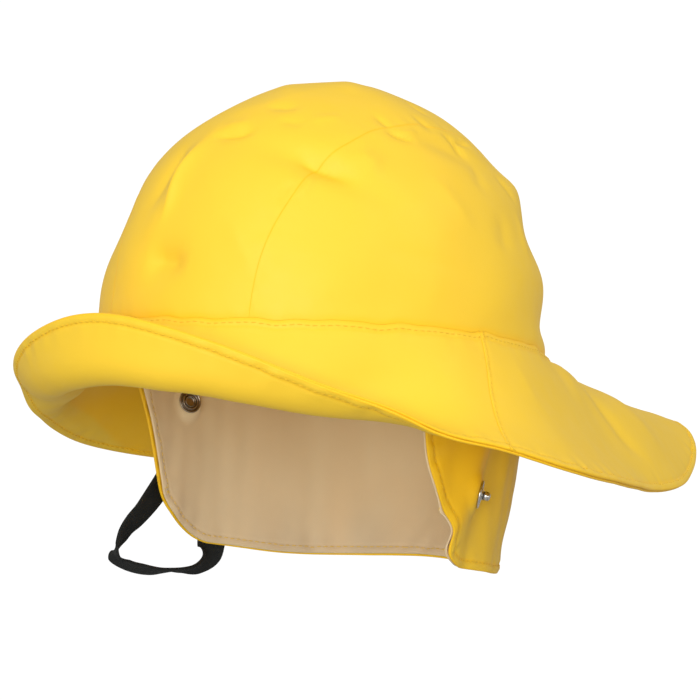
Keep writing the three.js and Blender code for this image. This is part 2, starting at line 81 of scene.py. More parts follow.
# angle, height, half along, half across, tilt, out
CROWN_FOLDS = [
    (39, 62, 26, 7, -24, -2.6), (60, 80, 20, 8, 15, 1.2), (84, 79, 22, 6, -14, -1.8), (128, 104.5, 30, 22, 0, 0.9),
    (-4, 21, 13, 9, 0, -2.0), (-8, 58, 24, 6, 84, 1.4), (-50, 40, 26, 14, 0, -3.4), (-50, 90, 24, 16, 0, -2.6),
    (128, 69, 20, 8, 0, 2.4), (128, 50, 24, 10, 0, -2.6), (128, 32, 22, 7, 0, 0.5), (126, 13, 24, 10, 0, -3.0),
]
# angle, turn, length, root, rim, from, to
BRIM_SECTIONS = [
    (0, 0, 70.8, -55.9, 80, 0.353, 0.8), (22, 0, 66.1, -64.4, 72, 0.387, 0.85), (45, 0, 61.4, -78, 42, 0.392, 0.96),
    (58, 0, 60.4, -86, 4, 0.25, 0.95), (70, 0, 58.4, -66, -28, 0.3, 1.0), (90, 0, 68.5, -63, -38, 0.1, 1.0),
    (105, 18, 69.3, -64, -38, 0.15, 1.0), (120, 36, 75.4, -49, -38, 0.2, 1.0), (135, 31, 92.6, -25, -42, 0.2, 1.0),
    (150, 21, 113.9, -9, -38, 0.3, 1.0), (165, 8, 128, -6.9, -4.5, 0.2, 1.0), (180, 0, 133.1, -7, -3, 0.2, 1.0),
]
# angle, half width, how much shorter the brim is cut there
BRIM_TRIMS = [(-46, 15, 2.7), (-66, 6, 1.2)]
# depth, half width, half length, left edge, right edge; dressed: the lowest left edge comes further round
FLAP_PLAN = [
    (0, 85.9, 102.5, 69, 69), (0.25, 80, 101, 73, 73), (0.5, 76, 101, 77.8, 77.8),
    (0.7, 75.2, 96.5, 83.2, 81.8), (0.85, 75, 91.5, 87.4, 85.6), (1, 75.5, 88, 83, 92.5),
]
# angle at the top, angle at the bottom, half width, out, from
FLAP_FOLDS = [
    (104, 89, 5.2, 3.0, 0.25), (114.5, 100, 6.4, -3.3, 0.2), (150, 150, 12, 2, 0.3), (175, 175, 10, -2, 0.3),
    (-150, -150, 12, 2, 0.3), (-125, -125, 10, -2, 0.3), (-98, -98, 9, 1, 0.3),
]
# x, y, z of the strap's middle, and its facing round and up
STRAP_ROUTE = [
    (-83.2, 31, -6, -6, 5), (-82.5, 27, -20, -8, 8), (-81.2, 12.5, -39.7, -4, 6), (-80.4, 5.2, -52.6, 0, 2),
    (-80.6, -1.5, -63, 5, -5), (-81, -8.7, -72.3, 7, -11), (-82, -14.8, -79.7, 12, -19),
    (-82.8, -19.4, -84.1, 17, -22), (-83.5, -22.6, -88.9, 23, -19), (-84.3, -24.5, -93.8, 37, -16),
    (-84.6, -25, -97.3, 53, 15), (-84.4, -22.4, -99.9, 83, 67), (-84, -12.8, -102.4, 128, 76),
    (-83.2, -3.4, -103.6, 161, 78), (-82.6, 4.5, -103.4, -161, 77), (-82.2, 13.2, -102.1, -138, 79),
    (-81.8, 21.3, -101, -148, 66), (-81.3, 29.2, -98, -165, 26), (-81, 33, -93.3, 167, -2),
    (-80.8, 33.2, -88, 153, 5), (-80.3, 34.2, -81.3, 150, 5),
]

# Creases of the crown's cloth: how far each stands out, its half width, and the angles and heights it runs through
CROWN_CREASES = [
    (-2.6, 1.9, ((29, 70), (33, 65), (39, 62), (44, 60), (50, 56))), (1.1, 2.8, ((47, 71), (53, 66), (57, 63))),
    (1.0, 1.4, ((37, 60), (33, 47))), (-0.6, 0.9, ((28, 45), (30, 55))), (-1.5, 1.2, ((58, 82), (64, 80), (71, 79))),
    (0.8, 1.2, ((64, 80), (74, 84))), (-1.7, 1.1, ((87, 87), (92, 83), (94, 75))), (-1.3, 1.0, ((92, 83), (106, 84))),
    (-1.3, 1.3, ((91, 101), (91, 93))), (-1.0, 1.1, ((56, 89), (62, 82))), (-1.9, 1.5, ((-5, 73), (7, 75), (14, 77))),
    (0.9, 2.2, ((-4, 77), (10, 80))), (1.6, 1.4, ((-7, 74), (-7, 66), (-8, 56), (-7, 44), (-8, 33))),
    (-1.5, 2.6, ((-13, 72), (-14, 56), (-13, 40))), (-2.6, 2.8, ((-11, 23), (-2, 22), (6, 21))),
    (-1.3, 2.0, ((7, 88), (26, 88))), (0.9, 4.0, ((-40, 104), (3, 99), (22, 93))), (1.0, 4.0, ((40, 106), (48, 97))),
    (1.0, 5.0, ((-140, 102), (160, 106), (60, 104))), (-0.9, 2.2, ((98, 76), (91, 60))),
    (-1.0, 3.2, ((99, 56), (95, 34))), (0.8, 2.4, ((70, 66), (84, 40))), (-0.7, 2.0, ((52, 30), (80, 24))),
    (0.6, 2.4, ((14, 40), (26, 14))), (-0.9, 1.5, ((108, 74), (116, 60))), (0.9, 1.7, ((112, 60), (110, 36))),
    (-0.8, 1.6, ((75, 92), (84, 84))), (0.6, 1.8, ((30, 82), (44, 86))), (-0.7, 1.6, ((18, 82), (30, 80))),
]
# The same for the brim, by angles and fractions of its length
BRIM_CREASES = [
    (2.1, 8.0, ((120, 0.1), (130, 0.13), (139, 0.17))),
    (1.3, 5.0, ((-60, 0.68), (-74, 0.73), (-88, 0.72))),
    (-1.7, 3.6, ((135, 0.2), (133, 0.35), (131, 0.5), (130, 0.66), (132, 0.84))),
    (-1.0, 10, ((127, 0.2), (124, 0.5), (120, 0.85))), (1.0, 7.0, ((145, 0.3), (142, 0.6), (140, 0.85))),
    (0.6, 5.0, ((10, 0.55), (26, 0.75))), (-0.6, 4.0, ((-34, 0.5), (-20, 0.72))), (0.4, 3.0, ((92, 0.1), (95, 0.5))),
    (3.2, 8.0, ((-52, 0.72), (-66, 0.63), (-82, 0.58), (-100, 0.5))), (1.8, 12, ((152, 0.5), (164, 0.78), (172, 1.1))),
    (-1.4, 5.0, ((-46, 0.9), (-62, 0.86), (-78, 0.86), (-94, 0.92))),
]
# How far from the root the hollow under the brim is painted deeper yellow, as shade: angles, and parts of the brim's
# length
HOLLOW_EDGE = ((-175, -150, -100, -90, -84, -72, -64, -56, -50), (0, 1.2, 1.05, 0.86, 0.79, 0.78, 0.72, 0.62, 0))
# The ridge beside the press stud, in front of which the flap is painted deeper yellow, as shade: places down, and
# places around
FLAP_RIDGE = ((0.3, 0.5, 0.66, 0.76, 1.0), (-0.70, -0.74, -0.80, -0.88, -0.94))
# How softly that painted shade fades out at its edge
DEEP_BLUR = 0.05
# Distances of the stitching from its edges
RIM_STITCH = 3.8
ROOT_STITCH = 3.5
SEAM_STITCH = 2.2
FLAP_STITCH = 4.0
# How far the flap's left front corner curls, which way, and how wide and high the curl is
CORNER_CURL = 3.6
CURL_WAY = (-0.79, -0.61, 0)
CURL_WIDE = 9
CURL_HIGH = 8
BRIM_THICK = 1.16  # the brim's plies nearly touch in the dressed hat
# Rows from an edge, closest where the cloth rolls over and where the stitching runs
EDGE_ROWS = (0, 0.02, 0.06, 0.22, 0.45, 0.8, 1.4, 2.0, 2.6, 3.1, 3.6, 4.1, 4.7, 5.4, 6.4, 8)
# The camera: turn, tilt and roll in degrees, then its place across, up and back, and its lens
CAMERA_TURNS = (37.95, -4.19, 4.73)
CAMERA_ACROSS = 11.18
CAMERA_UP = -3.84
CAMERA_BACK = 1200
CAMERA_LENS = 146.53
SENSOR_WIDTH = 36


def add_object(name, data):
    item = bpy.data.objects.new(name, data)
    bpy.context.scene.collection.objects.link(item)
    return item


def set_camera():
    turn, tilt, roll = np.radians(CAMERA_TURNS)
    right = np.array([np.cos(turn), np.sin(turn), 0])
    back = np.array([np.sin(turn) * np.cos(tilt), -np.cos(turn) * np.cos(tilt), np.sin(tilt)])
    up = np.cross(back, right)
    across = np.cos(roll) * right + np.sin(roll) * up
    upward = -np.sin(roll) * right + np.cos(roll) * up
    place = right * CAMERA_ACROSS + np.array([0, 0, CAMERA_UP]) + back * CAMERA_BACK
    data = bpy.data.cameras.new("camera")
    data.sensor_width = SENSOR_WIDTH
    data.lens = CAMERA_LENS
    data.clip_start = 0.05
    data.clip_end = 50
    camera = add_object("camera", data)
    matrix = np.eye(4)
    matrix[:3, 0], matrix[:3, 1], matrix[:3, 2], matrix[:3, 3] = across, upward, back, place / 1000
    camera.matrix_world = Matrix(matrix.tolist())
    bpy.context.scene.camera = camera


def ease(x):
    x = np.clip(x, 0, 1)
    return x * x * (3 - 2 * x)


def unit(v):
    return v / np.maximum(np.linalg.norm(v, axis=-1, keepdims=True), 1e-9)


def without(v, way):
    """The direction of v with its part along a way taken out."""
    return unit(v - way * (v * way).sum(axis=-1, keepdims=True))


def high_and_aside(away, facing):
    """How far places stand out along a facing, and how far they are from its line."""
    high = away @ facing
    return high, np.linalg.norm(away - high[..., None] * facing, axis=-1)


def distance_along(line):
    """The distance from the start of a line to each of its points."""
    return np.concatenate([[0], np.cumsum(np.linalg.norm(np.diff(line, axis=0), axis=1))])


def numbered(rows, columns):
    """The numbers of a grid's points."""
    return np.arange(rows * columns).reshape(rows, columns)


def corners(grid):
    """The four corners of every cell of a grid."""
    return np.stack([grid[:-1, :-1], grid[1:, :-1], grid[1:, 1:], grid[:-1, 1:]], axis=2)


def on_oval(angle, wide, long, z):
    """A place on a level oval, at an angle from the front, and the way out of it."""
    t = np.radians(angle)
    place = np.stack([wide * np.sin(t), -long * np.cos(t), z], -1)
    return place, unit(np.stack([np.sin(t) / wide, -np.cos(t) / long, 0 * t], -1))


def wrap(angle):
    return (angle + 180) % 360 - 180


def read_table(rows, at, flat_ends=False):
    """Smooth curve through every column of a table, read at places between its rows."""
    table = np.array(rows, float)
    key = table[:, 0]
    slopes = np.zeros_like(table)
    slopes[1:-1] = (table[2:] - table[:-2]) / (key[2:] - key[:-2])[:, None]
    if not flat_ends:
        slopes[0] = (table[1] - table[0]) / (key[1] - key[0])
        slopes[-1] = (table[-1] - table[-2]) / (key[-1] - key[-2])
    at = np.asarray(at, float)
    i = np.clip(np.searchsorted(key, at, side="left") - 1, 0, len(key) - 2)
    span = key[i + 1] - key[i]
    u = (at - key[i]) / span

    def column(c):
        leave = slopes[i, c] * span * u * (1 - u) ** 2
        arrive = slopes[i + 1, c] * span * u * u * (1 - u)
        return table[i, c] * (1 + 2 * u) * (1 - u) ** 2 + table[i + 1, c] * u * u * (3 - 2 * u) + leave - arrive

    return [column(c) for c in range(1, table.shape[1])]


def drift(p, size, seed):
    """Soft irregular waves about size mm long, mostly between -1 and 1."""
    pick = np.random.default_rng(seed)
    total = 0
    for _ in range(14):
        way = unit(pick.normal(size=3))
        total = total + np.sin(p @ way * 2 * np.pi / (size * pick.uniform(0.7, 1.5)) + pick.uniform(0, 6.3))
    return total / 4


def ripple(along, size, seed):
    """Irregular waves along a line."""
    pick = np.random.default_rng(seed)
    total = 0
    for _ in range(6):
        total = total + np.sin(along * 2 * np.pi / (size * pick.uniform(0.6, 1.6)) + pick.uniform(0, 6.3))
    return total / 2.4


def seam_height(angle):
    return -SEAM_WAVE * np.cos(np.radians(2 * angle))


def seam_wander(angle):
    """The sewn line between crown and brim wanders a little up and down."""
    t = np.radians(angle)
    return 0.3 * np.sin(17 * t + 1) + 0.25 * np.sin(29 * t + 2) + 0.15 * np.sin(43 * t)


def dome_point(angle, rise):
    """A place on the even dome of the crown, from its angle and how far up it is."""
    t = np.radians(angle)
    shrink = np.clip(np.cos(rise * np.pi / 2), 0, 1) ** (2 / CROWN_ROUNDNESS)
    lift = np.clip(np.sin(rise * np.pi / 2), 0, 1) ** (2 / CROWN_ROUNDNESS)
    return np.stack(np.broadcast_arrays(HEAD_HALF_WIDTH * shrink * np.sin(t),
                                        -HEAD_HALF_LENGTH * shrink * np.cos(t), CROWN_HEIGHT * lift), -1)


def dome_normal(p):
    x, y, z = p[..., 0], p[..., 1], p[..., 2]
    flat = np.maximum((x / HEAD_HALF_WIDTH) ** 2 + (y / HEAD_HALF_LENGTH) ** 2, 1e-9)
    pull = flat ** (CROWN_ROUNDNESS / 2 - 1)
    up = (np.maximum(z, 0) / CROWN_HEIGHT) ** (CROWN_ROUNDNESS - 1) / CROWN_HEIGHT
    return unit(np.stack([pull * x / HEAD_HALF_WIDTH ** 2, pull * y / HEAD_HALF_LENGTH ** 2, up], -1))


def rise_at(z):
    return np.arcsin(np.clip((np.maximum(z, 0) / CROWN_HEIGHT) ** (CROWN_ROUNDNESS / 2), 0, 1)) * 2 / np.pi


def fold_frame(middle, out, tilt):
    """Ways along and across a fold that lies on the cloth, tilted from level."""
    level = unit(np.cross([0, 0, 1], out))
    upward = np.cross(out, level)
    t = np.radians(tilt)
    along = level * np.cos(t) + upward * np.sin(t)
    return middle, out, along, np.cross(out, along)


def fold_height(p, out, folds):
    height = np.zeros(p.shape[:-1])
    for (middle, facing, along, across), half_along, half_across, high in folds:
        away = p - middle
        a = away @ along / half_along
        b = away @ across / half_across
        height += np.where(out @ facing > 0.3, high * np.exp(-a * a - b * b), 0)
    return height


def crown_spot(angle, z):
    return dome_point(angle, rise_at(z))


def fold_frames(table):
    frames = []
    for angle, z, along, across, tilt, out in table:
        middle = crown_spot(angle, z)
        frames.append((fold_frame(middle, dome_normal(middle), tilt), along, across, out))
    return frames


def crease_height(p, spot, table):
    """Ridges and valleys that are sharp along their lines and fade out at both ends."""
    height = np.zeros(p.shape[:-1])
    for out, half, places in table:
        line = read_line(np.array([spot(*place) for place in places], float))
        gap, along = from_edge(p, line, False)
        share = along / np.linalg.norm(np.diff(line, axis=0), axis=1).sum()
        fade = ease(share / 0.4) * ease((1 - share) / 0.4)
        height += out * fade * np.exp(1 - np.sqrt(1 + (gap / half) ** 2))
    return height


def read_line(points):
    """A smooth line of many points through a few."""
    rows = np.concatenate([np.arange(len(points))[:, None], points], axis=1)
    return np.stack(read_table(rows, np.linspace(0, len(points) - 1, 8 * len(points))), -1)


CROWN_FRAMES = fold_frames(CROWN_FOLDS)


def crown_angle(p):
    """The angle from the front of a place on the crown."""
    return np.degrees(np.arctan2(p[..., 0] / HEAD_HALF_WIDTH, -p[..., 1] / HEAD_HALF_LENGTH))


def crown_cloth(p):
    """The crown's outer face and the way out of it, from a place on the even dome."""
    out = dome_normal(p)
    height = fold_height(p, out, CROWN_FRAMES) + crease_height(p, crown_spot, CROWN_CREASES)
    height *= ease(p[..., 2] / 10)
    height += (0.35 * drift(p, 46, 3) + 0.45 * (0.5 - np.abs(drift(p, 62, 4)))) * ease(p[..., 2] / 12)
    low = np.clip(1 - p[..., 2] / CROWN_HEIGHT, 0, 1)
    placed = p + out * height[..., None]
    angle = crown_angle(p)
    placed[..., 2] += GAP / 2 + seam_height(angle) * low ** 2 + seam_wander(angle) * low ** 12
    return placed, out


def strip_half(y):
    """Half the width of the centre strip, which narrows towards its ends."""
    return STRIP_HALF_TOP - (STRIP_HALF_TOP - STRIP_HALF_BASE) * (y / STRIP_REACH) ** 2 + 0.3 * ripple(y, 34, 8)


def strip_point(over, side, grow):
    """A place on the centre strip's even dome: over it from front to back, and from side to side."""
    phi = over * np.pi
    y = -HEAD_HALF_LENGTH * np.cos(phi)
    for _ in range(8):
        x = side * (strip_half(y) + grow)
        low, high = np.zeros_like(x), np.full_like(x, 1.1)
        for _ in range(30):
            r = (low + high) / 2
            flat = (x / HEAD_HALF_WIDTH) ** 2 + (r * np.cos(phi)) ** 2
            size = flat ** (CROWN_ROUNDNESS / 2) + np.maximum(r * np.sin(phi), 0) ** CROWN_ROUNDNESS
            high = np.where(size > 1, r, high)
            low = np.where(size > 1, low, r)
        y = -HEAD_HALF_LENGTH * low * np.cos(phi)
    return np.stack([x, y, CROWN_HEIGHT * low * np.sin(phi)], -1)


def side_point(over, up, side):
    """A place on a side panel's even dome, from the seam at the head up to the strip."""
    top = strip_point(over, np.ones_like(over), GAP / 2)
    p = dome_point(crown_angle(top), up * rise_at(top[..., 2]))
    p[..., 0] *= side
    return p


def brim_section(angle):
    """The brim's section at an angle, evened out over a few degrees to either side."""
    total = 0
    for away, share in ((-8, 0.08), (-5, 0.17), (-2, 0.25), (2, 0.25), (5, 0.17), (8, 0.08)):
        there = wrap(angle + away)
        section = np.array(read_table(BRIM_SECTIONS, np.abs(there), True))
        section[0] *= np.sign(there)
        total = total + share * section
    return total


def brim_middle(angle, s):
    folded = wrap(angle)
    t = np.radians(folded)
    turn, length, root, rim, start, end = brim_section(folded)
    for middle, half, shorter in BRIM_TRIMS:
        length = length - shorter * np.exp(-((folded - middle) / half) ** 2)
    square = np.arctan2(np.sin(t) / HEAD_HALF_WIDTH, np.cos(t) / HEAD_HALF_LENGTH)
    way = square + np.radians(turn)
    reach = rise = 0
    for i in range(40):
        at = (i + 0.5) / 40 * s
        slope = np.radians(root + (rim - root) * ease((at - start) / (end - start)))
        reach = reach + np.cos(slope) * length * s / 40
        rise = rise + np.sin(slope) * length * s / 40
    x = HEAD_HALF_WIDTH * np.sin(t) + np.sin(way) * reach
    y = -HEAD_HALF_LENGTH * np.cos(t) - np.cos(way) * reach
    z = seam_height(folded) + rise - GAP / 2 + seam_wander(folded) * np.clip(1 - s, 0, 1) ** 10
    return np.stack([x, y, z], -1)


def normal_of(point, a, b, step):
    along_a = point(a + step, b) - point(a - step, b)
    along_b = point(a, b + step) - point(a, b - step)
    return unit(np.cross(along_a, along_b))


def brim_up(angle, s):
    return -normal_of(lambda a, b: brim_middle(a, b / 100), angle, s * 100, 0.4)


def side_seam(s):
    return SIDE_SEAM_ROOT + (SIDE_SEAM_RIM - SIDE_SEAM_ROOT) * s


def brim_angle(part, place, s, gap):
    half_gap = np.degrees(gap / 2 / HEAD_HALF_WIDTH)
    if part == "front":
        return place * (side_seam(s) - half_gap)
    return 180 + place * (180 - side_seam(s) - half_gap)


def flap_face(around, down):
    size = np.abs(around)
    left = around < 0
    corner = np.where(left, FLAP_LEFT_CORNER, FLAP_RIGHT_CORNER)
    side = np.where(left, FLAP_LEFT_DROP, FLAP_RIGHT_DROP)
    bite = np.clip(1 - (1 - size) * FLAP_HALF_GIRTH / corner, 0, 1)
    length = FLAP_BACK_DROP + (side - FLAP_BACK_DROP) * ease(size / FLAP_BACK_SPAN)
    length = length - corner * (1 - np.sqrt(1 - bite * bite))
    depth = down * length / FLAP_DEPTH
    wide, long, left_edge, right_edge = read_table(FLAP_PLAN, depth)
    edge = np.where(left, left_edge, right_edge)
    return flap_at(180 + around * (180 - edge), depth, wide, long)


def flap_at(angle, depth, wide, long):
    stand = 0
    for top, bottom, half, out, start in FLAP_FOLDS:
        away = wrap(angle - top - (bottom - top) * depth) / half
        stand = stand + out * np.exp(-away * away) * ease((depth - start + 0.25) / 0.5)
    place, outward = on_oval(angle, wide, long, seam_height(angle) - FLAP_START - depth * FLAP_DEPTH)
    return place + outward * np.asarray(stand)[..., None]


def flap_inward(around, down):
    return normal_of(lambda a, b: flap_face(a / 100, b / 100), around * 100, down * 100, 0.5)


def flap_cloth(around, down, depth):
    return flap_face(around, down) + flap_inward(around, down) * depth


def close_rows(length, count):
    """Places from 0 to 1 along lines of these lengths, closer together near both ends."""
    length = np.maximum(np.atleast_1d(np.asarray(length, float)), 1e-2)[:, None]
    near = np.array(EDGE_ROWS)[None] * np.minimum(1, length / (2.4 * EDGE_ROWS[-1])) / length
    between = np.linspace(0, 1, count + 2)[1:-1]
    middle = near[:, -1:] + between[None] * (1 - 2 * near[:, -1:])
    return np.concatenate([near, middle, 1 - near[:, ::-1]], axis=1)


def from_edge(points, line, closed):
    """Distance of every point from an edge line, and how far along that line it is."""
    start = line if closed else line[:-1]
    end = np.roll(line, -1, axis=0) if closed else line[1:]
    step = end - start
    size = np.linalg.norm(step, axis=1)
    arc = np.concatenate([[0], np.cumsum(size)])[:-1]
    middle = (start + end) / 2
    flat = points.reshape(-1, 3)
    near = np.concatenate([
        np.argmin(((part[:, None] - middle[None]) ** 2).sum(axis=2), axis=1)
        for part in np.array_split(flat, max(1, len(flat) // 1500))
    ])
    best = np.full(len(flat), 1e9)
    along = np.zeros(len(flat))
    for shift in (-1, 0, 1):
        k = (near + shift) % len(start) if closed else np.clip(near + shift, 0, len(start) - 1)
        u = np.clip(((flat - start[k]) * step[k]).sum(axis=1) / np.maximum(size[k] ** 2, 1e-9), 0, 1)
        gap = np.linalg.norm(flat - start[k] - step[k] * u[:, None], axis=1)
        better = gap < best
        best = np.where(better, gap, best)
        along = np.where(better, arc[k] + u * size[k], along)
    return best.reshape(points.shape[:-1]), along.reshape(points.shape[:-1])


def edge_line(face, which, row=0):
    """The line of a face along one of its edges, or so many rows inside it."""
    far = -1 - row
    if which == "outline":
        return np.concatenate([face[row], face[1:-1, far], face[far, ::-1]])
    return {"root": face[:, row], "rim": face[:, far], "start": face[row], "end": face[far]}[which]


def make_object(name, vertices, quads, uvs=None, marks=None):
    """A mesh object from points in mm, quads of their numbers, and a cut-plan position for each corner."""
    mesh = bpy.data.meshes.new(name)
    mesh.from_pydata((vertices / 1000).tolist(), [], quads.tolist())
    if uvs is not None:
        mesh.uv_layers.new(name="cut").data.foreach_set("uv", uvs.astype(np.float32).ravel())
    for label, values in (marks or {}).items():
        mesh.attributes.new(label, "FLOAT", "POINT").data.foreach_set("value", values.astype(np.float32))
    work = bmesh.new()
    work.from_mesh(mesh)
    bmesh.ops.remove_doubles(work, verts=work.verts, dist=2e-6)
    bmesh.ops.dissolve_degenerate(work, edges=work.edges, dist=1e-6)
    bmesh.ops.delete(work, geom=[v for v in work.verts if not v.link_faces], context="VERTS")
    if work.calc_volume(signed=True) < 0:
        bmesh.ops.reverse_faces(work, faces=work.faces)
    work.to_mesh(mesh)
    work.free()
    mesh.shade_smooth()
    return add_object(name, mesh)


def cloth_piece(name, face, out, wall, edges, closed=False, shift=0, seed=1, hollow_shade=0):
    """A closed body of cloth with rolled edges, from its seen face. edges lists each edge with the distance of its
    stitching, or None, how much it puckers, how far it rolls and how far its painted shade, a deeper yellow, reaches.
    The last argument marks where the cloth faces more yellow cloth, painted deeper yellow too as shade. The seen
    face comes back too, for its stitches."""
    n, m = face.shape[:2]
    roll, relief, whole, seam = (np.zeros((n, m)) for _ in range(4))
    # Painted shade: deeper yellow where the cloth faces more yellow cloth, as in hollows
    seam += hollow_shade
    for k, (which, stitch, pucker, width, reach) in enumerate(edges):
        gap, along = from_edge(face, edge_line(face, which), closed)
        roll = np.maximum(roll, wall / 2 * (1 - np.sqrt(1 - np.clip(1 - gap / width, 0, 1) ** 2)))
        whole += pucker * ripple(along, 11, seed + k) * np.exp(-((gap - (stitch or 0)) / 5) ** 2) * ease(gap / 2)
        if stitch:
            depth = (stitch / RIM_STITCH) ** 2
            relief -= 0.26 * depth * np.exp(-((gap - stitch) / 0.75) ** 2)
            relief += 0.24 * depth * np.exp(-((gap - stitch * 0.5) / (stitch * 0.3)) ** 2)
            # Painted shade: the stitch line's groove is a little deeper yellow
            seam = np.maximum(seam, 0.4 * np.exp(-((gap - stitch) / 0.6) ** 2))
        # Painted shade: deeper yellow along each edge, as far as its reach
        seam = np.maximum(seam, 0.8 * np.exp(-(gap / reach) ** 2))
    seen = face + out * (whole + relief - roll)[..., None] + shift
    back = face + out * (whole - wall + roll)[..., None] + shift

    along = distance_along(face[:, m // 2])
    down = np.concatenate([np.zeros((n, 1)), np.cumsum(np.linalg.norm(np.diff(face, axis=1), axis=2), axis=1)], axis=1)
    number = numbered(n, m)
    behind = number + n * m
    behind[:, 0], behind[:, -1] = number[:, 0], number[:, -1]
    if closed:
        along = np.append(along, along[-1] + np.linalg.norm(face[0, m // 2] - face[-1, m // 2]))
        number, behind, down = (np.concatenate([g, g[:1]]) for g in (number, behind, down))
    else:
        behind[0], behind[-1] = number[0], number[-1]
    plan = corners(np.stack([np.broadcast_to(along[:, None], down.shape), down], -1) / 1000)
    quads = np.concatenate([corners(number).reshape(-1, 4), corners(behind)[:, :, ::-1].reshape(-1, 4)])
    uvs = np.concatenate([plan.reshape(-1, 2), plan[:, :, ::-1].reshape(-1, 2)])
    vertices = np.concatenate([seen.reshape(-1, 3), back.reshape(-1, 3)])
    # The painted shade goes to the material as a mark on the points
    return make_object(name, vertices, quads, uvs, {"painted_shade": np.tile(seam.ravel(), 2)}), seen


def stitch_path(seen, which, inset, closed=False):
    """The line over the cloth that runs inset from an edge, with the way out of the cloth along it."""
    grid = numbered(*seen.shape[:2])
    if closed:
        grid = np.concatenate([grid, grid[:1]])
    cloth = BVHTree.FromPolygons([Vector(p) for p in seen.reshape(-1, 3)], corners(grid).reshape(-1, 4).tolist())
    line = edge_line(seen, which)
    keep = np.concatenate([[True], np.linalg.norm(np.diff(line, axis=0), axis=1) > 0.05])
    line, inside = line[keep], edge_line(seen, which, 12)[keep]
    points, lift = line.copy(), np.zeros_like(line)
    ends = "wrap" if closed else "edge"
    steps = 8
    for k in range(steps):
        padded = np.pad(points, ((1, 1), (0, 0)), ends)
        inward = without(points - line if k else inside - line, unit(padded[2:] - padded[:-2]))
        if k:
            inward = without(inward, lift)
        for i, p in enumerate(points + inward * inset / steps):
            points[i], lift[i], _, _ = cloth.find_nearest(Vector(p))
        lift = unit(lift)
    for _ in range(3):
        padded = np.pad(lift, ((1, 1), (0, 0)), ends)
        evened = unit(lift + padded[:-2] + padded[2:])
        if not closed:
            evened[[0, -1]] = lift[[0, -1]]
        lift = evened
    return points, lift, closed


def feed(tree, item, values):
    """Gives a node's inputs their values, or links them to a socket or to a node's first output."""
    for key, value in values.items():
        if isinstance(value, bpy.types.Node):
            value = value.outputs[0]
        if isinstance(value, bpy.types.NodeSocket):
            tree.links.new(value, item.inputs[key])
        else:
            item.inputs[key].default_value = value
    return item


def put(tree, kind, values=None, **props):
    """Adds a node, with its properties and its inputs."""
    item = tree.nodes.new(kind)
    for key, value in props.items():
        setattr(item, key, value)
    return feed(tree, item, values or {})


def worked(tree, operation, *values):
    """The outcome of a sum on numbers and sockets."""
    return put(tree, "ShaderNodeMath", dict(enumerate(values)), operation=operation).outputs[0]


def noise(tree, place, scale, detail):
    return put(tree, "ShaderNodeTexNoise", {"Vector": place, "Scale": scale, "Detail": detail}).outputs["Fac"]


def ranged(tree, value, low, high):
    """0 at the low value, 1 at the high one."""
    return put(tree, "ShaderNodeMapRange", {"Value": value, "From Min": low, "From Max": high}).outputs[0]


def stitching_tree():
    """Rows of short thread stitches along lines, each lying on the cloth."""
    tree = bpy.data.node_groups.new("rows_of_stitches", "GeometryNodeTree")
    for name, kind in (("Lines", "Geometry"), ("Pitch", "Float"), ("Stitch length", "Float"),
                       ("Thread radius", "Float"), ("Seed", "Int"), ("Thread", "Material")):
        tree.interface.new_socket(name, in_out="INPUT", socket_type="NodeSocket" + kind)
    tree.interface.new_socket("Stitches", in_out="OUTPUT", socket_type="NodeSocketGeometry")
    given = tree.nodes.new("NodeGroupInput").outputs
    lines = put(tree, "GeometryNodeMeshToCurve", {0: given["Lines"]})
    spaced = put(tree, "GeometryNodeResampleCurve", {"Curve": lines, "Length": given["Pitch"]}, mode="LENGTH")
    lift = put(tree, "GeometryNodeInputNamedAttribute", {"Name": "lift"}, data_type="FLOAT_VECTOR")
    lean = put(tree, "FunctionNodeRandomValue", {"Min": -0.09, "Max": 0.09, "Seed": given["Seed"]}, data_type="FLOAT")
    tangent = put(tree, "GeometryNodeInputTangent")
    sideways = put(tree, "ShaderNodeVectorMath", {0: lift, 1: tangent}, operation="CROSS_PRODUCT")
    swing = put(tree, "ShaderNodeVectorMath", {0: sideways, "Scale": lean.outputs[1]}, operation="SCALE")
    way = put(tree, "ShaderNodeVectorMath", {0: tangent, 1: swing}, operation="ADD")
    turn = put(tree, "FunctionNodeAxesToRotation", {0: lift, 1: way}, primary_axis="Z", secondary_axis="X")
    half = worked(tree, "MULTIPLY", given["Stitch length"], 0.5)
    size = put(tree, "ShaderNodeCombineXYZ", {"X": half, "Y": given["Thread radius"], "Z": given["Thread radius"]})
    ball = put(tree, "GeometryNodeMeshUVSphere", {"Segments": 6, "Rings": 5, "Radius": 1.0})
    stitch = put(tree, "GeometryNodeSetShadeSmooth", {0: ball})
    placed = put(tree, "GeometryNodeInstanceOnPoints",
                 {"Points": spaced, "Instance": stitch, "Rotation": turn, "Scale": size})
    real = put(tree, "GeometryNodeRealizeInstances", {0: placed})
    dressed = put(tree, "GeometryNodeSetMaterial", {"Geometry": real, "Material": given["Thread"]})
    feed(tree, tree.nodes.new("NodeGroupOutput"), {0: dressed})
    return tree


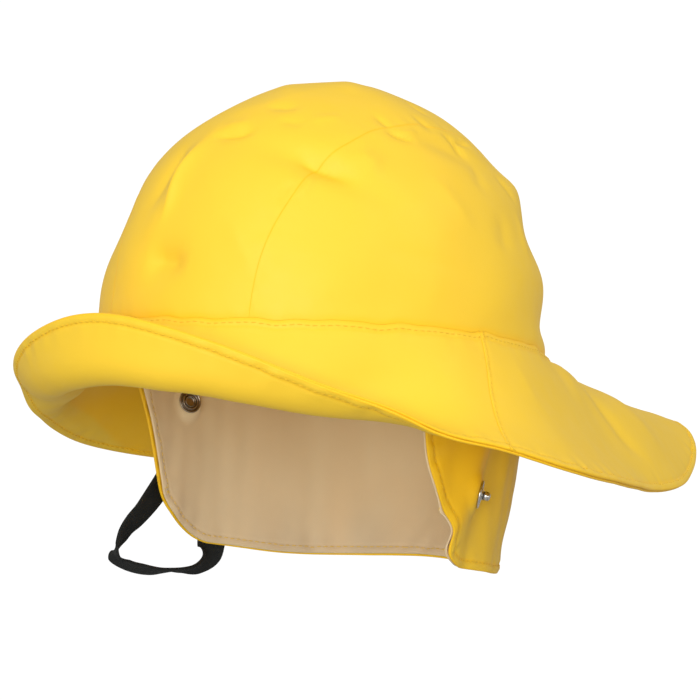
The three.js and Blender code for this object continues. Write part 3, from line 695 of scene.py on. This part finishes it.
def sew(name, tree, paths, thread, seed):
    """Stitches along paths over the cloth, as one plain mesh."""
    points, lifts, lines = [], [], []
    for line, lift, closed in paths:
        first = sum(len(p) for p in points)
        count = len(line)
        points.append(line + lift * 0.05)
        lifts.append(lift)
        lines += [(first + i, first + (i + 1) % count) for i in range(count if closed else count - 1)]
    mesh = bpy.data.meshes.new(name + "_lines")
    mesh.from_pydata((np.concatenate(points) / 1000).tolist(), lines, [])
    mesh.attributes.new("lift", "FLOAT_VECTOR", "POINT").data.foreach_set(
        "vector", np.concatenate(lifts).astype(np.float32).ravel())
    source = add_object(name + "_lines", mesh)
    modifier = source.modifiers.new("stitches", "NODES")
    modifier.node_group = tree
    sockets = {s.name: s.identifier for s in tree.interface.items_tree if s.in_out == "INPUT"}
    sizes = {"Pitch": 0.003, "Stitch length": 0.0023, "Thread radius": 0.00026}
    for key, value in {**sizes, "Seed": seed, "Thread": thread}.items():
        modifier[sockets[key]] = value
    bpy.context.view_layer.update()
    result = bpy.data.meshes.new_from_object(source.evaluated_get(bpy.context.evaluated_depsgraph_get()))
    result.name = name
    bpy.data.objects.remove(source)
    item = add_object(name, result)
    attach(item, "root")
    return item


def new_group(name, place, sizes, results):
    """A group that takes a place and some sizes, and gives some shares."""
    tree = bpy.data.node_groups.new(name, "ShaderNodeTree")
    tree.interface.new_socket(place, in_out="INPUT", socket_type="NodeSocketVector")
    for way, labels in (("INPUT", sizes), ("OUTPUT", results)):
        for label in labels:
            tree.interface.new_socket(label, in_out=way, socket_type="NodeSocketFloat")
    return tree, tree.nodes.new("NodeGroupInput").outputs, tree.nodes.new("NodeGroupOutput")


def handling_group():
    """Uneven tone and polish left by use and folding."""
    tree, given, result = new_group("handling", "Place", ["Patch size"], ["Tone", "Polish"])
    broad = noise(tree, given["Place"], given["Patch size"], 3.0)
    small = noise(tree, given["Place"], worked(tree, "MULTIPLY", given["Patch size"], 7.0), 4.0)
    feed(tree, result, {"Tone": ranged(tree, broad, 0.35, 0.7), "Polish": ranged(tree, small, 0.3, 0.7)})
    return tree


def weave_group():
    """Crossed threads on the cut plan of a cloth: height of the threads and the shade between them."""
    ways = ["Threads along", "Threads across"]
    tree, given, result = new_group("woven_threads", "Plan", ways, ["Height", "Between"])
    loose = worked(tree, "MULTIPLY", noise(tree, given["Plan"], 260.0, 2.0), 3.0)
    parts = put(tree, "ShaderNodeSeparateXYZ", {0: given["Plan"]}).outputs
    waves = [worked(tree, "SINE", worked(tree, "MULTIPLY_ADD", parts[axis], given[label], loose))
             for axis, label in zip("XY", ways)]
    height = ranged(tree, worked(tree, "MULTIPLY", *waves), -1.0, 1.0)
    feed(tree, result, {"Height": height, "Between": worked(tree, "SUBTRACT", 1.0, height)})
    return tree


def new_material(name):
    material = bpy.data.materials.new(name)
    material.use_nodes = True
    tree = material.node_tree
    tree.nodes.clear()
    shader = put(tree, "ShaderNodeBsdfPrincipled")
    put(tree, "ShaderNodeOutputMaterial", {"Surface": shader.outputs[0]})
    return material, tree, shader


def use_group(tree, group, *values):
    """Adds a group with these inputs, and gives its outputs."""
    return put(tree, "ShaderNodeGroup", dict(enumerate(values)), node_tree=group).outputs


def used_material(name, patch, threads):
    """A material marked by use: its nodes, its texture places, its tone and polish, and its threads."""
    material, tree, shader = new_material(name)
    place = put(tree, "ShaderNodeTexCoord").outputs
    use = use_group(tree, HANDLING, place["Object"], patch)
    return material, tree, shader, place["Object"], use, threads and use_group(tree, WEAVE, place["UV"], *threads)


def blend_colour(tree, factor, a, b):
    """Colour a where the factor is 0 and b where it is 1."""
    a, b = ((*c, 1) if isinstance(c, tuple) else c for c in (a, b))
    return put(tree, "ShaderNodeMix", {0: factor, 6: a, 7: b}, data_type="RGBA").outputs[2]


def scaled(tree, value, by, offset=0.0):
    return worked(tree, "MULTIPLY_ADD", value, by, offset)


def bumped(tree, height, strength, distance=0.0002):
    """The way out of a surface that is a little uneven."""
    return put(tree, "ShaderNodeBump", {"Strength": strength, "Distance": distance, "Height": height}).outputs[0]


def coated_material():
    """Yellow coated cloth: smooth, a little glossy, with the ground cloth barely showing through. The cloth pieces'
    mark paints in the deeper yellow that light between the cloths gives, a painted shade near seams, stitching and
    hollows, so it stays there in any other light too."""
    material, tree, shader, place, use, threads = used_material("coated_cloth_yellow", 16.0, (9000.0, 9000.0))
    # Painted shade: deeper yellow near seams, stitching and hollows, read from the cloth pieces' mark
    seam = put(tree, "ShaderNodeAttribute", attribute_name="painted_shade").outputs["Fac"]
    base = blend_colour(tree, scaled(tree, use["Tone"], 0.35), (0.95, 0.61, 0.028), (0.93, 0.58, 0.021))
    relief = scaled(tree, threads["Height"], 0.35, noise(tree, place, 900.0, 3.0))
    feed(tree, shader, {
        "Base Color": blend_colour(tree, scaled(tree, seam, 0.95), base, (0.98, 0.56, 0.001)),
        "Roughness": scaled(tree, use["Polish"], 0.10, 0.54), "Specular IOR Level": 0.4,
        "Coat Weight": 0.08, "Coat Roughness": 0.5, "Normal": bumped(tree, relief, 0.12)})
    return material


def lining_material():
    """Plain woven beige lining. It is painted lighter towards the top, as the photograph's light shows it."""
    material, tree, shader, place, use, threads = used_material("lining_beige", 22.0, (7200.0, 7200.0))
    drawn = put(tree, "ShaderNodeVectorMath", {0: place, 1: (1.0, 1.0, 0.14)}, operation="MULTIPLY")
    streaks = use_group(tree, HANDLING, drawn, 38.0)
    height = put(tree, "ShaderNodeSeparateXYZ", {0: place}).outputs["Z"]
    # Painted light and shade: lighter towards the top and darker towards the bottom, by height
    painted_light_by_height = blend_colour(tree, scaled(tree, height, -14.0, -0.2), (1.0, 0.80, 0.45), (0.66, 0.52, 0.33))
    lit_and_toned = blend_colour(tree, scaled(tree, use["Tone"], 0.4), painted_light_by_height, (0.92, 0.72, 0.42))
    base = blend_colour(tree, scaled(tree, streaks["Tone"], 0.4), lit_and_toned, (0.88, 0.62, 0.33))
    feed(tree, shader, {
        "Base Color": blend_colour(tree, scaled(tree, threads["Between"], 0.15), base, (0.72, 0.52, 0.31)),
        "Roughness": scaled(tree, use["Polish"], 0.08, 0.78), "Sheen Weight": 0.25, "Sheen Roughness": 0.5,
        "Normal": bumped(tree, threads["Height"], 0.12)})
    return material


def elastic_material():
    """Black flat elastic with lengthwise ribs and fine cross threads."""
    material, tree, shader, _, use, threads = used_material("elastic_black", 60.0, (8200.0, 5200.0))
    base = blend_colour(tree, scaled(tree, threads["Between"], 0.7), (0.016, 0.018, 0.017), (0.004, 0.005, 0.005))
    feed(tree, shader, {
        "Base Color": blend_colour(tree, scaled(tree, use["Tone"], 0.25), base, (0.03, 0.032, 0.03)),
        "Roughness": scaled(tree, use["Polish"], 0.1, 0.68), "Specular IOR Level": 0.25,
        "Normal": bumped(tree, threads["Height"], 0.6, 0.0004)})
    return material


def nickel_material(name, bright, dull, smooth):
    """Pressed nickel, dulled with handling."""
    material, tree, shader, _, use, _ = used_material(name, 300.0, None)
    feed(tree, shader, {"Base Color": blend_colour(tree, scaled(tree, use["Tone"], 0.5), bright, dull),
                        "Roughness": scaled(tree, use["Polish"], 0.16, smooth), "Metallic": 1})
    return material


def thread_material(name, light, dark):
    """Twisted sewing thread."""
    material, tree, shader = new_material(name)
    twist = noise(tree, put(tree, "ShaderNodeTexCoord").outputs["Object"], 2500.0, 2.0)
    feed(tree, shader, {"Base Color": blend_colour(tree, twist, light, dark), "Roughness": 0.6,
                        "Normal": bumped(tree, twist, 0.4)})
    return material


def dress(item, node, material):
    item.data.materials.append(material)
    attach(item, "root")
    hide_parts(node)
    return item


def crown_pieces(material):
    made = {}
    to_brim, to_panel = (None, 0.06, 0.02, 1.9), (None, 0.10, 0.02, 0.4)
    over, side = close_rows(330, 230)[0], close_rows(90, 74)[0] * 2 - 1
    a, b = np.meshgrid(over, side, indexing="ij")
    face, out = crown_cloth(strip_point(a, b, -GAP / 2))
    edges = [("root", *to_panel), ("rim", *to_panel), ("start", *to_brim), ("end", *to_brim)]
    item, _ = cloth_piece("centre_strip", face, out, CROWN_WALL, edges, seed=10)
    made["strip"] = dress(item, "crown_centre_strip", material)
    over = 0.5 - 0.5 * np.cos(np.pi * np.linspace(0, 1, 240))
    top = strip_point(over, np.ones_like(over), GAP / 2)
    up = close_rows(np.maximum(rise_at(top[:, 2]) * 150, 0.02), 64)
    for side, name in ((1, "left"), (-1, "right")):
        face, out = crown_cloth(side_point(np.broadcast_to(over[:, None], up.shape), up, side))
        edges = [("root", *to_brim), ("rim", *to_panel)]
        item, _ = cloth_piece("side_panel_" + name, face, out, CROWN_WALL, edges, seed=20 + side)
        made[name] = dress(item, "crown_side_" + name, material)
    return made


def brim_grid(part, columns, rows, gap, dense):
    place = close_rows(360, columns)[0] if dense else np.linspace(0, 1, columns + 1)[:-1]
    place = place * 2 - 1
    length = read_table(BRIM_SECTIONS, np.abs(wrap(brim_angle(part, place, 0.5, gap))), True)[1]
    s = close_rows(length, rows)
    return brim_angle(part, np.broadcast_to(place[:, None], s.shape), s, gap), s


def brim_face(angle, s):
    """The brim's upper face as the way out of its middle surface, and how far out it is."""
    middle, up = brim_middle(angle, s), brim_up(angle, s)
    relief = crease_height(middle, brim_middle, BRIM_CREASES)
    relief += 0.35 * drift(middle, 70, 5) + 0.15 * (0.5 - np.abs(drift(middle, 48, 6)))
    return middle, up, (BRIM_PLY + PLY_GAP / 2) * ease(s / 0.3) + relief * ease(s / 0.12)


def brim_pieces(material):
    made, seen = {}, {}
    rim = ("rim", RIM_STITCH, 0.22, 0.58, 0.8)
    for part, columns in (("front", 200), ("back", 240)):
        middle, up, shift = brim_face(*brim_grid(part, columns, 36, GAP, True))
        side = (SEAM_STITCH if part == "back" else None, 0.08, 0.12, 0.4)
        edges = [("root", ROOT_STITCH, 0.09, 0.02, 1.5), rim, ("start", *side), ("end", *side)]
        face = middle + up * shift[..., None]
        item, seen[part] = cloth_piece("brim_" + part + "_cloth", face, up, BRIM_THICK, edges, seed=30 + columns)
        made[part] = dress(item, "brim_" + part, material)
    grids = [brim_grid("front", 190, 36, 0, False), brim_grid("back", 230, 36, 0, False)]
    angle, s = (np.concatenate([g[k] for g in grids]) for k in (0, 1))
    middle, up, shift = brim_face(angle, s)
    face = middle + up * (shift - 2 * BRIM_PLY - PLY_GAP)[..., None]
    # Painted shade: the hollow under the brim is painted deeper yellow
    hollow_shade = ease((np.interp(wrap(angle), *HOLLOW_EDGE) - s) / DEEP_BLUR)
    item, seen["under"] = cloth_piece("brim_under_cloth", face, -up, BRIM_THICK, [("root", None, 0.1, 0.5, 0.8), rim],
                                      closed=True, seed=50, hollow_shade=hollow_shade)
    made["under"] = dress(item, "brim_under", material)
    return made, seen


def seat_on_flap(place, radius, depth, outward):
    """Where a round piece sits on the flap: its back clears the highest place of the cloth under it."""
    _, _, left_edge, right_edge = read_table(FLAP_PLAN, place["depth"])
    left = place["angle"] > 0
    around = np.array(wrap(place["angle"] - 180) / (180 - float(left_edge if left else right_edge)))
    down = np.array(place["depth"] * FLAP_DEPTH / (FLAP_LEFT_DROP if left else FLAP_RIGHT_DROP))
    facing = -flap_inward(around, down) * (1 if outward else -1)
    facing = np.array(Matrix.Rotation(np.radians(place["turn"]), 3, "Z") @ Vector(facing))
    middle = flap_cloth(around, down, depth)
    step = (np.arange(9) / 8 - 0.5) * 2 * radius
    a, b = np.meshgrid(around + step / FLAP_HALF_GIRTH, down + step / FLAP_DEPTH, indexing="ij")
    high, aside = high_and_aside(flap_cloth(a, b, depth) - middle, facing)
    clear = max(0.0, float(high[aside < radius].max()))
    return middle + facing * (clear + SEAT_GAP), facing


SEATS = {
    "stud": (*seat_on_flap(STUD, STUD["radius"], 0, True), STUD["radius"]),
    "stud_cap": (*seat_on_flap(STUD, CAP_RADIUS, LINING_TO, False), CAP_RADIUS),
    "socket": (*seat_on_flap(SOCKET, SOCKET["radius"], LINING_TO, False), SOCKET["radius"]),
    "socket_cap": (*seat_on_flap(SOCKET, CAP_RADIUS, 0, True), CAP_RADIUS),
}


def pressed_flat(face, names):
    """Under a press piece the cloth is drawn up flat against its back."""
    shift = np.zeros_like(face)
    for name in names:
        middle, facing, radius = SEATS[name]
        high, aside = high_and_aside(face - middle, facing)
        weight = (1 - ease((aside - radius * 0.95) / (radius * 0.8))) * (np.abs(high) < 8)
        shift += facing * ((-high - 0.06) * weight)[..., None]
    return shift


def curled(face):
    """The left front corner of the flap curls forward a little."""
    away = face - flap_face(np.array(-0.94), np.array(1.0))
    weight = np.exp(-(away[..., 0] ** 2 + away[..., 1] ** 2) / CURL_WIDE ** 2 - (away[..., 2] / CURL_HIGH) ** 2)
    return weight[..., None] * np.array(CURL_WAY) * CORNER_CURL


def flap_pieces(coated, lining):
    made, seen = {}, {}
    for name, node, depth, wall, inset, sign, seats, material, slot in (
        ("flap_cloth", "flap_shell", 0, SHELL_PLY, 0, 1, ("stud", "socket_cap"), coated, "coated_cloth"),
        ("flap_lining_cloth", "flap_lining", LINING_TO, LINING_PLY, LINING_INSET, -1, ("stud_cap", "socket"),
         lining, "lining_cloth"),
    ):
        around = (close_rows(340, 250)[0] * 2 - 1) * (1 - inset / FLAP_HALF_GIRTH)
        down = close_rows(90, 56)[0] * (1 - inset / FLAP_DEPTH)
        a, b = np.meshgrid(around, down, indexing="ij")
        shell, inward = flap_face(a, b), flap_inward(a, b)
        hanging = shell * np.array([1, 1, 0.2])
        sway = 0.45 * drift(hanging, 30, 7) + 0.25 * drift(hanging, 14, 9) + 0.12 * drift(shell, 22, 9)
        face = shell + inward * (depth - sway * ease(b / 0.2))[..., None] + curled(shell)
        edges = [("root", None, 0.05, 0.5, 0.8), ("outline", FLAP_STITCH - inset, 0.22, 0.5, 0.7)]
        # Painted shade: the flap in front of the ridge beside the stud is painted deeper yellow
        hollow_shade = ease((np.interp(b, *FLAP_RIDGE) - a) / DEEP_BLUR) * 0.9
        drawn = pressed_flat(face, seats)
        item, seen[name] = cloth_piece(name, face, -inward * sign, wall, edges, shift=drawn, seed=60, hollow_shade=hollow_shade)
        made[name] = dress(item, node, material)
    return made, seen


def strap_curve(points, at):
    """Smooth curve through points, read at places from 0 to 1."""
    points = np.concatenate([[2 * points[0] - points[1]], points, [2 * points[-1] - points[-2]]])
    last = len(points) - 3
    place = np.asarray(at) * last
    i = np.clip(np.floor(place).astype(int), 0, last - 1)
    w = (place - i)[:, None]
    p0, p1, p2, p3 = (points[i + k] for k in range(4))
    d0, d1, d2 = (np.maximum((((b - a) ** 2).sum(axis=1, keepdims=True)) ** 0.25, 1e-6)
                  for a, b in ((p0, p1), (p1, p2), (p2, p3)))
    m1 = ((p1 - p0) / d0 - (p2 - p0) / (d0 + d1) + (p2 - p1) / d1) * d1
    m2 = ((p2 - p1) / d1 - (p3 - p1) / (d1 + d2) + (p3 - p2) / d2) * d1
    return p1 + m1 * w + (3 * (p2 - p1) - 2 * m1 - m2) * w ** 2 + (2 * (p1 - p2) + m1 + m2) * w ** 3


def strap_rows():
    """The strap's middle line and the way it faces: the hanging loop, then the plain way round behind the flap."""
    middle, facing = [], []
    for x, y, z, turn, up in STRAP_ROUTE:
        turn, up = np.radians((turn, up))
        middle.append((x, y, z))
        facing.append((np.cos(turn) * np.cos(up), np.sin(turn) * np.cos(up), np.sin(up)))
    (first, top), (last, bottom) = STRAP_HIDDEN_FROM, STRAP_HIDDEN_TO
    for k in np.linspace(0, 1, 21):
        angle = wrap(first - k * (360 + first - last))
        z = top + (bottom - top) * k
        wide, long = read_table(FLAP_PLAN, (seam_height(angle) - FLAP_START - z) / FLAP_DEPTH)[:2]
        place, out = on_oval(angle, wide, long, z)
        middle.append(place + out * STRAP_STANDOFF)
        facing.append(out)
    return np.array(middle, float), np.array(facing, float)


def chin_strap(material):
    """Flat woven elastic, with rounded selvedges."""
    middle, facing = strap_rows()
    at = np.linspace(0, 1, 300)
    place = strap_curve(middle, at)
    along = unit(strap_curve(middle, np.minimum(at + 1e-4, 1)) - strap_curve(middle, np.maximum(at - 1e-4, 0)))
    wide = unit(np.cross(along, unit(strap_curve(facing, at))))
    up = unit(np.cross(wide, along))
    across = [(-0.5, 0.12), (-0.495, 0.3), (-0.475, 0.44), (-0.44, 0.5)]
    across += [(x, 0.5 - 0.06 * np.cos(9 * 2 * np.pi * x) ** 2) for x in np.linspace(-0.4, 0.4, 37)]
    across += [(-x, y) for x, y in across[3::-1]]
    x, y = np.array(across + [(x, -y) for x, y in across[::-1]]).T
    points = (place[:, None] + wide[:, None] * (x * STRAP_WIDTH)[None, :, None]
              + up[:, None] * (y * STRAP_THICKNESS)[None, :, None])
    n, m = points.shape[:2]
    number = numbered(n, m)
    quads = corners(np.concatenate([number, number[:, :1]], axis=1)).reshape(-1, 4)
    arc = distance_along(place) / 1000
    width = np.append(x, x[0]) * STRAP_WIDTH / 1000
    uvs = corners(np.stack(np.meshgrid(arc, width, indexing="ij"), -1)).reshape(-1, 2)
    ends, end_uvs = [], []
    for row, order in ((0, 1), (n - 1, -1)):
        for k in range(m // 2 - 1):
            ring = (k, k + 1, m - 2 - k, m - 1 - k)
            ends.append([row * m + c for c in ring][::order])
            end_uvs += [(arc[row], width[c]) for c in ring]
    item = make_object("chin_elastic", points.reshape(-1, 3), np.concatenate([quads, ends]),
                       np.concatenate([uvs, end_uvs]))
    return dress(item, "chin_strap", material)


def turned(name, profile, seat, material, node, sides=56):
    """A round pressed piece turned about the way it faces, from rows of radius and height."""
    middle, facing, _ = SEATS[seat]
    first = unit(np.cross(facing, [0, 0, 1]))
    second = np.cross(facing, first)
    radius, height = np.array(profile, float).T
    angle = np.linspace(0, 2 * np.pi, sides, endpoint=False)
    around = np.cos(angle)[:, None] * first + np.sin(angle)[:, None] * second
    points = middle + around[:, None] * radius[None, :, None] + facing * height[None, :, None]
    number = numbered(*points.shape[:2])
    quads = corners(np.concatenate([number, number[:1]]).T).reshape(-1, 4)
    return dress(make_object(name, points.reshape(-1, 3), quads), node, material)


def bead(radius, height, size, start, end, count=6):
    """Rows round a rolled bead of the profile, by angle from outward."""
    return [(radius + size * np.cos(a), height + size * np.sin(a)) for a in np.radians(np.linspace(start, end, count))]


def press_pieces(nickel, shaded):
    """The stud, its socket and their caps, from rows of radius and height."""
    stud = [(0, 0), (3, 0), (5.5, 0)] + bead(5.55, 0.42, 0.42, -80, 100, 8) + [(5.2, 0.6), (4.6, 0.52), (3.4, 0.6)]
    stud += bead(2.9, 0.85, 0.3, 40, 130, 5) + [(2.3, 1.15), (1.9, 1.4), (1.75, 1.9)]
    stud += bead(0, 2.75, 2.0, -28, 30, 7) + bead(0.2, 2.6, 2.0, 32, 80, 6) + [(0.35, 3.95), (0.2, 3.9), (0, 3.88)]
    socket = [(0, 0), (4.8, 0)] + bead(4.75, 0.45, 0.44, -80, 110, 8) + [(4.25, 0.4), (4.1, 0.22), (3.85, 0.22)]
    socket += bead(3.35, 0.8, 0.42, 0, 165, 8) + [(2.85, 0.4), (2.75, 0.26), (2.66, 0.4)]
    socket += bead(2.3, 0.95, 0.3, 0, 180, 7) + [(1.98, 0.6), (1.9, 0.2), (1.4, 0.16), (0, 0.16)]
    cap = [(0, 0), (4.2, 0)] + bead(4.15, 0.24, 0.24, -80, 80, 5)
    cap += [(3.9, 0.52), (3.4, 0.66), (2.6, 0.78), (1.6, 0.86), (0.7, 0.89), (0, 0.9)]
    # The socket's nickel is painted darker, as shade
    for seat, profile, material in (("stud", stud, nickel), ("stud_cap", cap, nickel), ("socket", socket, shaded),
                                    ("socket_cap", cap, nickel)):
        turned("press_" + seat, profile, seat, material, "snap_" + seat)


def area_light(name, place, aim, size, power):
    data = bpy.data.lights.new(name, "AREA")
    data.shape = "DISK"
    data.size = size
    data.energy = power
    item = add_object(name, data)
    item.location = place
    item.rotation_euler = (Vector(aim) - Vector(place)).to_track_quat("-Z", "Y").to_euler()


def studio():
    """A white room with a grey floor, one key light, a fill and a low light from the front."""
    world = bpy.data.worlds.new("studio")
    world.use_nodes = True
    tree = world.node_tree
    seen = put(tree, "ShaderNodeLightPath").outputs["Is Camera Ray"]
    feed(tree, tree.nodes["Background"], {0: (1, 1, 1, 1), 1: scaled(tree, seen, 0.5, 0.55)})
    bpy.context.scene.world = world
    bpy.context.scene.view_settings.view_transform = "Standard"
    mesh = bpy.data.meshes.new("floor")
    turns = np.linspace(0, 2 * np.pi, 96, endpoint=False)
    mesh.from_pydata([(1.5 * np.cos(t), 1.5 * np.sin(t), -0.3) for t in turns], [], [tuple(range(96))])
    material, tree, shader = new_material("floor_grey")
    feed(tree, shader, {"Base Color": (0.5, 0.5, 0.5, 1), "Roughness": 0.9})
    mesh.materials.append(material)
    add_object("floor", mesh)
    area_light("key", (0.6, -1.9, 1.3), (0, 0, 0), 1.4, 13.6)
    area_light("fill", (1.6, 0.2, 1.3), (0, 0, 0), 1.2, 6.6)
    area_light("low_front", (0.9, -1.5, -0.05), (0, 0, -0.04), 0.7, 14.3)


set_camera()
HANDLING = handling_group()
WEAVE = weave_group()
COATED = coated_material()
LINING = lining_material()
ELASTIC = elastic_material()
NICKEL = nickel_material("nickel_pressed", (0.66, 0.64, 0.60), (0.50, 0.47, 0.42), 0.16)
# The socket is in the flap's shade in the photograph, so its nickel is painted darker
SHADED_NICKEL = nickel_material("nickel_painted_shade", (0.40, 0.34, 0.26), (0.23, 0.19, 0.14), 0.28)
THREAD = thread_material("thread_yellow", (0.88, 0.55, 0.015), (0.76, 0.45, 0.01))
PALE_THREAD = thread_material("thread_pale", (0.84, 0.60, 0.16), (0.74, 0.48, 0.10))

crown = crown_pieces(COATED)
brim, brim_seen = brim_pieces(COATED)
flap, flap_seen = flap_pieces(COATED, LINING)
chin_strap(ELASTIC)
press_pieces(NICKEL, SHADED_NICKEL)

ROWS = stitching_tree()
upper_paths = [stitch_path(brim_seen[part], which, inset) for part, which, inset in (
    ("front", "root", ROOT_STITCH), ("front", "rim", RIM_STITCH), ("back", "root", ROOT_STITCH),
    ("back", "rim", RIM_STITCH), ("back", "start", SEAM_STITCH), ("back", "end", SEAM_STITCH))]
under_path = stitch_path(brim_seen["under"], "rim", RIM_STITCH, True)
flap_path = stitch_path(flap_seen["flap_cloth"], "outline", FLAP_STITCH)
lining_path = stitch_path(flap_seen["flap_lining_cloth"], "outline", FLAP_STITCH - LINING_INSET)
brim_rows = sew("brim_stitches", ROWS, upper_paths, THREAD, 1)
under_rows = sew("brim_under_stitches", ROWS, [under_path], THREAD, 2)
flap_rows = sew("flap_stitches", ROWS, [flap_path], THREAD, 3)
lining_rows = sew("lining_stitches", ROWS, [lining_path], PALE_THREAD, 4)

studio()
